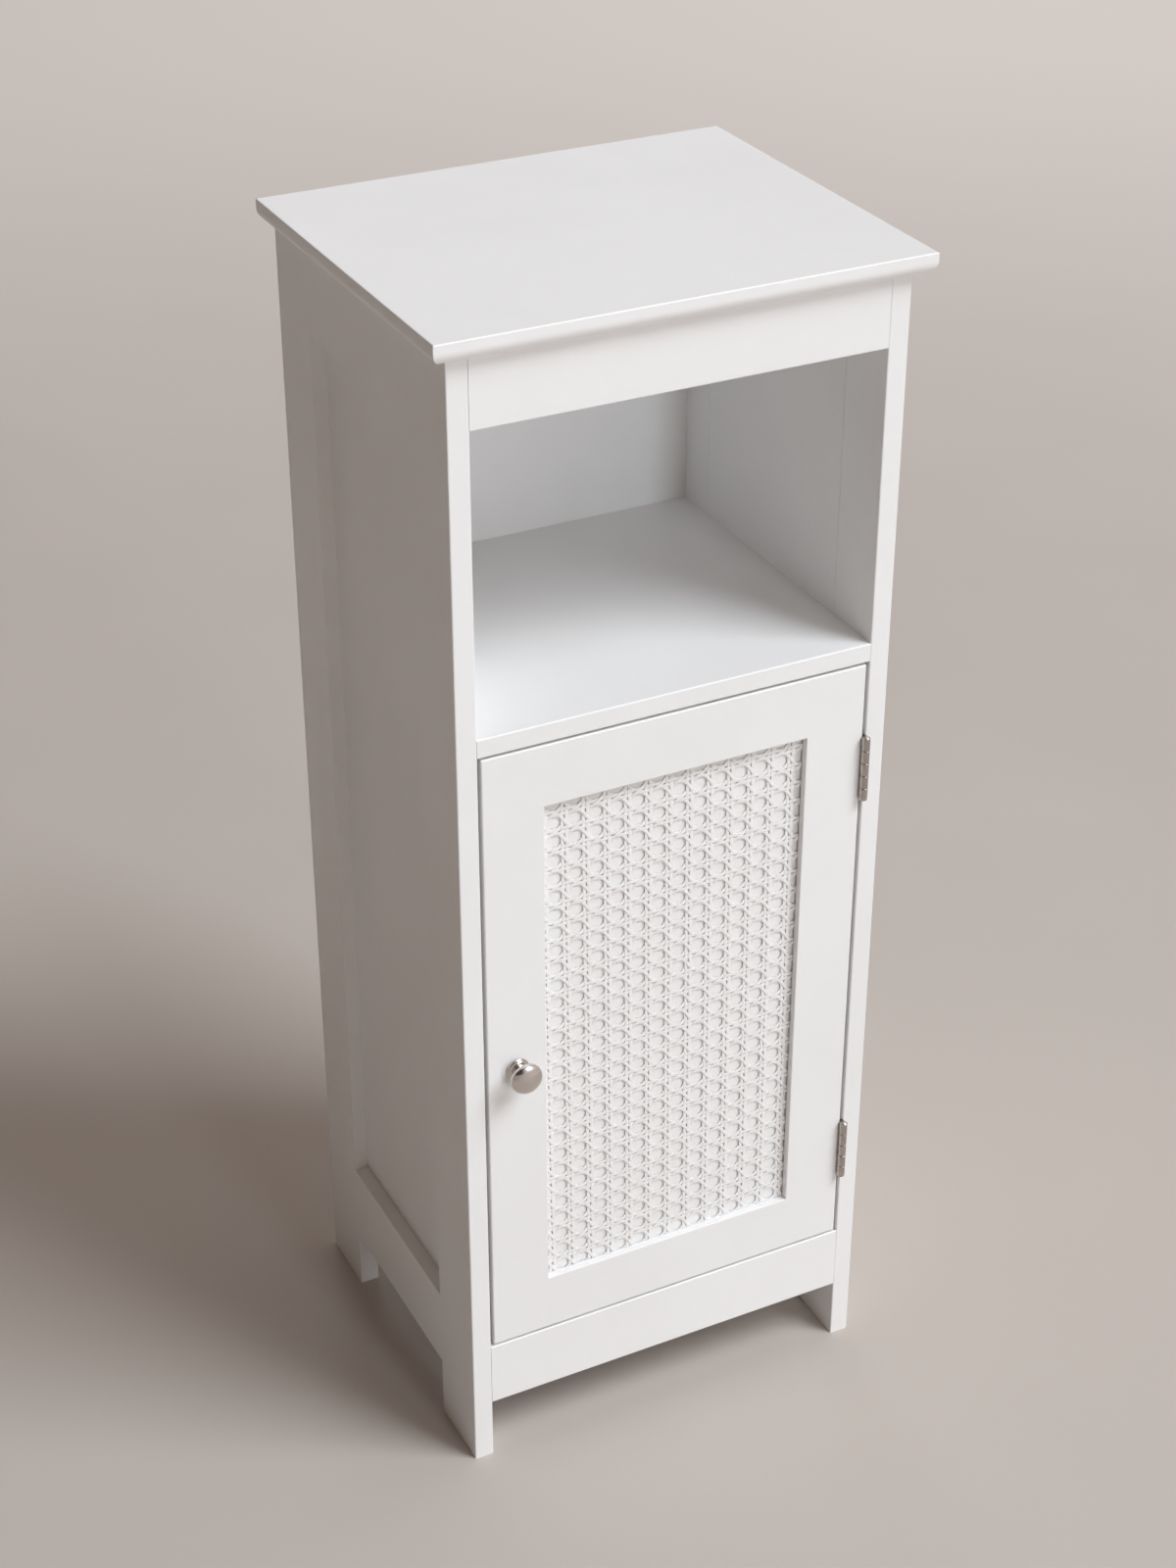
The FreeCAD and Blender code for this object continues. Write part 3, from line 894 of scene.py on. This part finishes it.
@dataclass(frozen=True)
class Screw:
    """Countersunk screw head with a cross recess, flush with the face that it holds."""

    radius: float = 2.6 * MM
    sink: float = 1.0 * MM
    stand: float = 0.12 * MM
    recess_reach: float = 1.45 * MM
    recess_width: float = 0.62 * MM
    recess_depth: float = 0.7 * MM
    recess_taper: float = 0.55
    seat_taper: float = 0.6
    rim_steps: int = 20

    def add(self, mesh: BMesh, place: Vector, toward: Vector, turn: float) -> None:
        """Adds one head to a mesh.

        Args:
            mesh: the mesh that gets the head.
            place: middle of the head's seat on the face.
            toward: the way that the head faces.
            turn: how far the recess is turned, in radians.
        """
        before = set(mesh.verts)
        rim = bmesh.ops.create_circle(mesh, segments=self.rim_steps, radius=self.radius)["verts"]
        half, reach = self.recess_width / 2, self.recess_reach
        cross = [(reach, -half), (reach, half), (half, half)]
        for _ in range(3):
            cross += [(-y, x) for x, y in cross[-3:]]
        corners = [mesh.verts.new((x, y, 0.0)) for x, y in cross]
        edges = [mesh.edges.new((corners[i - 1], corners[i])) for i in range(len(corners))]
        rim_edges = list(dict.fromkeys(edge for vert in rim for edge in vert.link_edges))
        bmesh.ops.triangle_fill(
            mesh, use_beauty=True, use_dissolve=False, edges=[*edges, *rim_edges], normal=UP
        )
        inside = [
            face for face in dict.fromkeys(f for v in corners for f in v.link_faces)
            if all(vert in corners for vert in face.verts)
            and min(map(abs, face.calc_center_median().xy)) < half
        ]
        bmesh.ops.delete(mesh, geom=inside, context="FACES_KEEP_BOUNDARY")
        floor = self.sunk(mesh, edges, self.recess_depth, self.recess_taper)
        bmesh.ops.triangle_fill(mesh, use_beauty=True, edges=floor, normal=UP)
        bottom = self.sunk(mesh, rim_edges, self.sink + self.stand, self.seat_taper)
        bmesh.ops.contextual_create(mesh, geom=bottom)
        made = [vert for vert in mesh.verts if vert not in before]
        turned = toward.to_track_quat("Z", "Y").to_matrix().to_4x4()
        spot = Matrix.Translation(place + toward * self.stand)
        matrix = spot @ turned @ Matrix.Rotation(turn, 4, "Z")
        bmesh.ops.transform(mesh, verts=made, matrix=matrix)

    @staticmethod
    def sunk(mesh: BMesh, edges: Sequence[BMEdge], depth: float, taper: float) -> list[BMEdge]:
        """Draws a loop of edges down into a tapered wall.

        Args:
            mesh: the mesh that holds the loop.
            edges: the loop's edges.
            depth: height of the wall.
            taper: share of the loop's width that is left at the foot.

        Returns:
            The edges of the wall's foot.
        """
        verts, foot = Shaper.fresh(bmesh.ops.extrude_edge_only(mesh, edges=edges)["geom"])
        bmesh.ops.translate(mesh, verts=verts, vec=(0, 0, -depth))
        bmesh.ops.scale(mesh, verts=verts, vec=(taper, taper, 1.0))
        return foot


@dataclass
class Hinge:
    """Butt hinge: two leaves with rolled knuckles, a pin with round tips and six screws."""

    height: str
    knuckles: int = 5
    knuckle_gap: float = 0.3 * MM
    barrel_radius: float = 3.0 * MM
    barrel_steps: int = 40
    leaf_thickness: float = 1.1 * MM
    leaf_setback: float = 1.5 * MM
    leaf_arris: float = 0.3 * MM
    arris_steps: int = 3
    neck_reach: float = 1.0 * MM
    end_round: float = 0.35 * MM
    end_steps: int = 4
    tip_height: float = 0.9 * MM
    tip_share: float = 0.72
    tip_steps: int = 8
    pin_steps: int = 32
    screw_rise: float = 17.0 * MM
    screw_setback: float = 7.0 * MM
    screw_turns: Point = (0.4, 1.3, 2.2)
    screw: Screw = Screw(radius=2.3 * MM, stand=0.05 * MM)

    def leaf(self, node: str, owned: Iterable[int], side: int) -> BMesh:
        """One leaf with its own knuckles.

        Args:
            node: the model's leaf that this one stands for.
            owned: which knuckles are its own, from below.
            side: 1 for the leaf on the leg, -1 for the one on the door.

        Returns:
            The leaf's mesh.
        """
        low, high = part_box(node)
        axis_x, axis_y = self.axis()
        mesh = bmesh.new()
        face_x = high.x if side > 0 else low.x
        inner_x = face_x - side * self.leaf_thickness
        start_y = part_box("door_frame")[0].y + self.leaf_setback
        plate = self.slab(mesh, (face_x, inner_x), (start_y, high.y), (low.z, high.z))
        upright = [
            edge for edge in dict.fromkeys(e for v in plate for e in v.link_edges)
            if all(abs(v.co.y - high.y) < SLACK for v in edge.verts)
        ]
        bmesh.ops.bevel(
            mesh, geom=upright, offset=self.leaf_arris, segments=self.arris_steps,
            profile=0.5, affect="EDGES", material=-1,
        )
        pitch = (high.z - low.z + self.knuckle_gap) / self.knuckles
        neck_x = axis_x + side * self.neck_reach
        neck = (neck_x, neck_x + side * self.leaf_thickness)
        for index in owned:
            span = (low.z + index * pitch, low.z + (index + 1) * pitch - self.knuckle_gap)
            self.knuckle(mesh, Vector((axis_x, axis_y, span[0])), span[1] - span[0])
            self.slab(mesh, neck, (axis_y, start_y + self.leaf_thickness), span)
            self.slab(mesh, (neck_x, inner_x), (start_y, start_y + self.leaf_thickness), span)
        return mesh

    @staticmethod
    def slab(
        mesh: BMesh, xs: Sequence[float], ys: Sequence[float], zs: Sequence[float]
    ) -> list[BMVert]:
        """A box between two limits on each axis, in either order.

        Args:
            mesh: the mesh that gets the box.
            xs: its limits in X.
            ys: its limits in Y.
            zs: its limits in Z.

        Returns:
            The box's vertices.
        """
        low, high = (Vector(pick(pair) for pair in (xs, ys, zs)) for pick in (min, max))
        place = Matrix.Translation((low + high) / 2) @ Matrix.Diagonal((*(high - low), 1.0))
        return bmesh.ops.create_cube(mesh, size=1.0, matrix=place)["verts"]

    def knuckle(self, mesh: BMesh, base: Vector, length: float) -> None:
        """Adds one knuckle with eased ends.

        Args:
            mesh: the mesh that gets it.
            base: its lower end.
            length: its length.
        """
        soft, steps = self.end_round, self.end_steps
        inner, corner = self.barrel_radius - soft, (soft, soft)
        profile = [(0.0, 0.0)]
        profile += Shaper.arc((inner, soft), corner, (-QUARTER, 0), steps)
        profile += Shaper.arc((inner, length - soft), corner, (0, QUARTER), steps)
        profile.append((0.0, length))
        Shaper.turned(mesh, profile, base, UP, self.barrel_steps)

    def axis(self) -> Pair:
        """Returns: where the pin stands, in X and Y."""
        low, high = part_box(f"{self.height}_hinge_pin")
        return (low.x + high.x) / 2, (low.y + high.y) / 2

    def pin(self) -> BMesh:
        """Turns the pin, with a button at each end of the barrel.

        Returns:
            The pin's mesh.
        """
        low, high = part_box(f"{self.height}_hinge_pin")
        axis_x, axis_y = self.axis()
        mesh = bmesh.new()
        length = high.z - low.z
        shaft = (high.x - low.x) / 2
        tip, steps = self.tip_height, self.tip_steps
        button = (self.barrel_radius * self.tip_share, tip)
        profile = [(0.0, -tip)]
        profile += Shaper.arc((0.0, 0.0), button, (-QUARTER, 0), steps)[1:]
        profile += [(shaft, 0.0), (shaft, length)]
        profile += Shaper.arc((0.0, length), button, (0, QUARTER), steps)[:-1]
        profile.append((0.0, length + tip))
        Shaper.turned(mesh, profile, Vector((axis_x, axis_y, low.z)), UP, self.pin_steps)
        return mesh

    def screws(self, node: str, side: int) -> BMesh:
        """Screw heads in a leaf's open face.

        Args:
            node: the model's leaf.
            side: 1 for the leaf on the leg, -1 for the one on the door.

        Returns:
            The mesh of the heads.
        """
        low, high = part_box(node)
        face_x = (high.x if side > 0 else low.x) - side * self.leaf_thickness
        toward = Toward.LEFT if side > 0 else Toward.RIGHT
        mesh = bmesh.new()
        middle = (low.z + high.z) / 2
        for step, turn in zip((-1, 0, 1), self.screw_turns):
            rise = middle + step * self.screw_rise
            place = Vector((face_x, high.y - self.screw_setback, rise))
            self.screw.add(mesh, place, toward.vector, turn)
        return mesh

    def build(self, finishes: Finishes) -> None:
        """Makes the hinge's pieces where the model has them.

        Args:
            finishes: the cabinet's finishes.
        """
        leaves = (
            (f"{self.height}_hinge_frame_leaf", Body.CARCASS, 0, 1),
            (f"{self.height}_hinge_door_leaf", Body.DOOR, 1, -1),
        )
        pin = f"{self.height}_hinge_pin"
        metal = finishes.hinge
        for node, body, first, side in leaves:
            mesh = self.leaf(node, range(first, self.knuckles, 2), side)
            Maker.piece(mesh, f"{node}_rolled", metal, body, "nickel", [node])
        Maker.piece(self.pin(), f"{pin}_tipped", metal, Body.CARCASS, "nickel", [pin])
        for node, body, _, side in leaves:
            Maker.piece(self.screws(node, side), f"{node}_screws", metal, body, "nickel")


@dataclass
class Fixings:
    """Screw heads of the catch, strike plate, knob, shelf supports and corner blocks."""

    support_drop: float = 11.0 * MM
    support_thickness: float = 2.0 * MM
    support_middle: float = 7.0 * MM
    strike_inset: float = 6.0 * MM
    block_inset: float = 9.0 * MM
    catch_inset: float = 5.0 * MM
    catch_setback: float = 3.0 * MM
    support_screw: Screw = Screw(radius=2.4 * MM, stand=0.4 * MM)
    strike_screw: Screw = Screw(radius=2.0 * MM, stand=0.05 * MM, recess_reach=1.1 * MM)
    block_screw: Screw = Screw(radius=3.4 * MM, recess_reach=1.9 * MM)
    catch_screw: Screw = Screw(radius=1.9 * MM, recess_reach=1.1 * MM)
    pull_screw: Screw = Screw(
        radius=3.6 * MM, stand=0.2 * MM, recess_reach=2.2 * MM, recess_width=0.9 * MM
    )
    support_turns: Pair = (0.3, 1.1)
    strike_turns: Pair = (0.2, 0.9)
    block_turns: Pair = (0.5, 1.2)
    catch_turns: Pair = (0.1, 0.8)
    pull_turn: float = 0.6

    def supports(self) -> BMesh:
        """Sets one screw in the upright flange of each shelf support.

        Returns:
            The mesh of the heads.
        """
        low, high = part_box("shelf_supports")
        mesh = bmesh.new()
        thick, half = self.support_thickness, self.support_middle
        z = high.z - self.support_drop
        sides = ((low.x + thick, Toward.RIGHT), (high.x - thick, Toward.LEFT))
        for index, y in enumerate((low.y + half, high.y - half)):
            for (x, toward), turn in zip(sides, self.support_turns):
                self.support_screw.add(mesh, Vector((x, y, z)), toward.vector, turn + index)
        return mesh

    def strike(self) -> BMesh:
        """Sets two screws in the strike plate.

        Returns:
            The mesh of the heads.
        """
        low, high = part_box("strike_plate")
        mesh = bmesh.new()
        middle, inset = (low.z + high.z) / 2, self.strike_inset
        for x, turn in zip((low.x + inset, high.x - inset), self.strike_turns):
            self.strike_screw.add(mesh, Vector((x, high.y, middle)), Toward.BACK.vector, turn)
        return mesh

    def blocks(self) -> BMesh:
        """Sets one screw up through each corner block into the top.

        Returns:
            The mesh of the heads.
        """
        low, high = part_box("corner_blocks")
        mesh = bmesh.new()
        inset = self.block_inset
        for x, turn in zip((low.x + inset, high.x - inset), self.block_turns):
            for y in (low.y + inset, high.y - inset):
                self.block_screw.add(mesh, Vector((x, y, low.z)), Toward.DOWN.vector, turn + y)
        return mesh

    def catch(self) -> BMesh:
        """Sets two screws up through the catch into the shelf.

        Returns:
            The mesh of the heads.
        """
        low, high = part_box("catch_housing")
        mesh = bmesh.new()
        inset = self.catch_inset
        for x, turn in zip((low.x + inset, high.x - inset), self.catch_turns):
            place = Vector((x, high.y - self.catch_setback, low.z))
            self.catch_screw.add(mesh, place, Toward.DOWN.vector, turn)
        return mesh

    def pull(self) -> BMesh:
        """Sets the recessed face of the knob's screw on the back of the door.

        Returns:
            The mesh of the face.
        """
        low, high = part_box("knob_screw")
        mesh = bmesh.new()
        place = Vector(((low.x + high.x) / 2, high.y, (low.z + high.z) / 2))
        self.pull_screw.add(mesh, place, Toward.BACK.vector, self.pull_turn)
        return mesh

    def build(self, finishes: Finishes) -> None:
        """Makes the heads.

        Args:
            finishes: the cabinet's finishes.
        """
        heads = (
            (self.blocks(), "corner_block_screws", Body.CARCASS),
            (self.catch(), "catch_screws", Body.CARCASS),
            (self.pull(), "knob_screw_face", Body.DOOR),
            (self.supports(), "shelf_support_screws", Body.CARCASS),
            (self.strike(), "strike_plate_screws", Body.DOOR),
        )
        for mesh, name, body in heads:
            Maker.piece(mesh, name, finishes.zinc, body, "zinc_steel")


@dataclass
class Dressing:
    """Finishes of the model's own nodes."""

    side_parts: tuple[str, ...] = (
        "front_leg", "rear_leg", "top_rail", "bottom_rail", "side_panel", "bead",
    )
    other_parts: tuple[str, ...] = (
        "top_board", "apron_rail", "kick_rail", "rear_top_rail", "rear_bottom_rail",
        "fixed_shelf", "cupboard_floor", "back_panel", "inner_shelf", "door_frame",
        "top_bead", "bottom_bead",
    )

    def build(self, finishes: Finishes) -> None:
        """Dresses every node that stays in view.

        Args:
            finishes: the cabinet's finishes.
        """
        sides = [f"{side}_{part}" for side in ("left", "right") for part in self.side_parts]
        for node in (*self.other_parts, *sides):
            Maker.dress(node, finishes.paint)
        for node in ("shelf_supports", "strike_plate", "knob_screw"):
            Maker.dress(node, finishes.zinc)
        Maker.dress("cane_backing", finishes.sheet)
        Maker.dress("corner_blocks", finishes.wood)
        Maker.dress("catch_housing", finishes.plastic)
        Maker.dress("catch_magnet", finishes.magnet)


@dataclass(frozen=True)
class Lamp:
    """Soft lamp that faces the cabinet."""

    name: str
    place: Point
    size: Pair
    power: float
    mirrored: bool = False
    colour: Colour = (0.886, 0.942, 1.0)
    aim: Point = (0.0, 0.0, 0.5)

    def hang(self) -> None:
        """Adds the lamp to the scene, where metal shows it only if it is mirrored."""
        data = bpy.data.lights.new(self.name, "AREA")
        data.shape = "RECTANGLE"
        data.size, data.size_y = self.size
        data.energy, data.color = self.power, self.colour
        made = Maker.placed(self.name, data)
        made.location = self.place
        made.visible_glossy = self.mirrored
        facing = Vector(self.aim) - Vector(self.place)
        made.rotation_euler = facing.to_track_quat("-Z", "Y").to_euler()


@dataclass
class Studio:
    """Pale floor, soft light and the camera."""

    floor_size: float = 40.0
    floor_colour: Colour = (0.570, 0.515, 0.470)
    floor_shade: float = 0.97
    floor_grain: float = 3.0
    floor_rough: float = 0.9
    # The backdrop is darker on the left: painted shade, which the metal also shows as a painted
    # reflection.
    backdrop_painted_shade: Colour = (0.400, 0.362, 0.332)
    backdrop_right: Colour = (0.660, 0.600, 0.570)
    wall_stops: Pair = (0.1, 0.8)
    # A ceiling that only reflections show: its dark left and white right paint a dark band and a
    # highlight onto the metal.
    painted_dark_reflection: Colour = (0.070, 0.060, 0.052)
    painted_highlight_reflection: Colour = (1.0, 1.0, 1.0)
    painted_reflection_stops: Pair = (0.35, 0.65)
    painted_reflection_rise: Pair = (0.3, 0.5)
    fade: Pair = (1.2, 4.0)
    ambient: Colour = (1.0, 0.792, 0.677)
    ambient_strength: float = 0.227
    ambient_lean: Point = (0.156, -0.030, 0.0)
    lamps: tuple[Lamp, ...] = (
        Lamp("high", (6.19, -6.90, 11.52), (6.5, 6.5), 1752.0, mirrored=True),
        Lamp("fill", (0.60, -7.29, 1.90), (0.9, 3.0), 119.0),
        Lamp("rear", (1.60, 6.50, 1.80), (3.0, 3.0), 114.0),
    )
    eye: Point = (-0.7753, -1.5377, 1.5099)
    azimuth: float = -26.655
    elevation: float = 30.863
    lens: float = 63.62
    sensor: float = 36.0

    def backdrop(self, tree: Tree, direction: Any) -> Any:
        """Colour of the backdrop, with painted shade on the left, and of a ceiling that only
        reflections show, which paints a highlight on the right and a dark band on the left.

        Args:
            tree: the tree that shows it.
            direction: the socket with the direction from the cabinet.

        Returns:
            The socket with the colour.
        """
        parts = tree.node("ShaderNodeSeparateXYZ", {"Vector": direction}).outputs
        share = tree.mapped(parts["X"], (-1.0, 1.0))
        # The wall's darker left is painted shade; the ceiling's dark left and white right are a
        # painted dark band and a painted highlight in reflections.
        wall = tree.ramp(share, self.wall_stops, (self.backdrop_painted_shade, self.backdrop_right))
        painted_reflections = tree.ramp(share, self.painted_reflection_stops, (self.painted_dark_reflection, self.painted_highlight_reflection))
        rise = tree.mapped(parts["Z"], self.painted_reflection_rise, eased=True)
        return tree.blended(rise, wall, painted_reflections)

    def floor(self) -> None:
        """Lays a plain floor under the cabinet, which turns into the backdrop far away."""
        mesh = bmesh.new()
        bmesh.ops.create_grid(mesh, x_segments=1, y_segments=1, size=self.floor_size / 2)
        data = bpy.data.meshes.new("floor")
        mesh.to_mesh(data)
        mesh.free()
        tree = Wiring("floor_matt")
        where = tree.place()
        grain = tree.noise(where, self.floor_grain, detail=2.0)
        dark = tuple(self.floor_shade * c for c in self.floor_colour)
        colour = tree.ramp(grain, NOISE_MIDDLE, (dark, self.floor_colour))
        tree.shade(Base_Color=colour, Roughness=self.floor_rough)
        reach = tree.node("ShaderNodeVectorMath", {0: where}, operation="LENGTH")
        direction = tree.node("ShaderNodeVectorMath", {0: where}, operation="NORMALIZE")
        # Far away the floor glows with the backdrop's colour, including its painted shade on the
        # left and its painted reflections.
        backdrop = self.backdrop(tree, direction.outputs["Vector"])
        glow = tree.node("ShaderNodeEmission", {"Color": backdrop}).outputs[0]
        away = tree.mapped(reach.outputs["Value"], self.fade, eased=True)
        share = tree.joined("MULTIPLY", away, tree.shown())
        surface = tree.mixed(share, tree.shader.outputs[0], glow)
        tree.feed(tree.tree.nodes["Material Output"], "Surface", surface)
        data.materials.append(tree.material)
        made = Maker.placed("floor", data)

    def world(self) -> None:
        """Soft light from all round, and a pale backdrop where rays look straight at it."""
        world = bpy.data.worlds.new("studio")
        bpy.context.scene.world = world
        tree = Tree(world)
        direction = tree.node("ShaderNodeTexCoord").outputs["Generated"]
        sockets = {0: direction, 1: self.ambient_lean}
        lean = tree.node("ShaderNodeVectorMath", sockets, operation="DOT_PRODUCT")
        strength = tree.joined("ADD", lean.outputs["Value"], self.ambient_strength)
        sockets = {"Color": (*self.ambient, 1.0), "Strength": strength}
        light = tree.node("ShaderNodeBackground", sockets)
        # Camera, glossy and transmission rays see the backdrop, with its painted shade and
        # painted reflections.
        seen = tree.node("ShaderNodeBackground", {"Color": self.backdrop(tree, direction)})
        mix = tree.mixed(tree.shown(), light.outputs[0], seen.outputs[0])
        tree.feed(tree.tree.nodes["World Output"], "Surface", mix)

    def camera(self) -> None:
        """Sets the camera at the viewing angle of the photograph."""
        data = bpy.data.cameras.new("camera")
        data.sensor_fit = "VERTICAL"
        data.sensor_height = self.sensor
        data.lens = self.lens
        made = Maker.placed("camera", data)
        tilt = QUARTER - math.radians(self.elevation)
        made.location = self.eye
        made.rotation_euler = (tilt, 0.0, math.radians(self.azimuth))
        bpy.context.scene.camera = made

    def build(self) -> None:
        """Sets up the whole studio."""
        bpy.context.scene.view_settings.view_transform = "Standard"
        self.floor()
        self.world()
        for lamp in self.lamps:
            lamp.hang()
        self.camera()


def main() -> None:
    """Builds the cabinet's looks, piece by piece."""
    logging.basicConfig(level=logging.INFO, format="%(name)s: %(message)s")
    finishes = Finishes()
    Dressing().build(finishes)
    CaneWeave().build()
    Knob().build(finishes)
    for height in ("upper", "lower"):
        Hinge(height).build(finishes)
    Fixings().build(finishes)
    Studio().build()


if __name__ == "__main__":
    main()
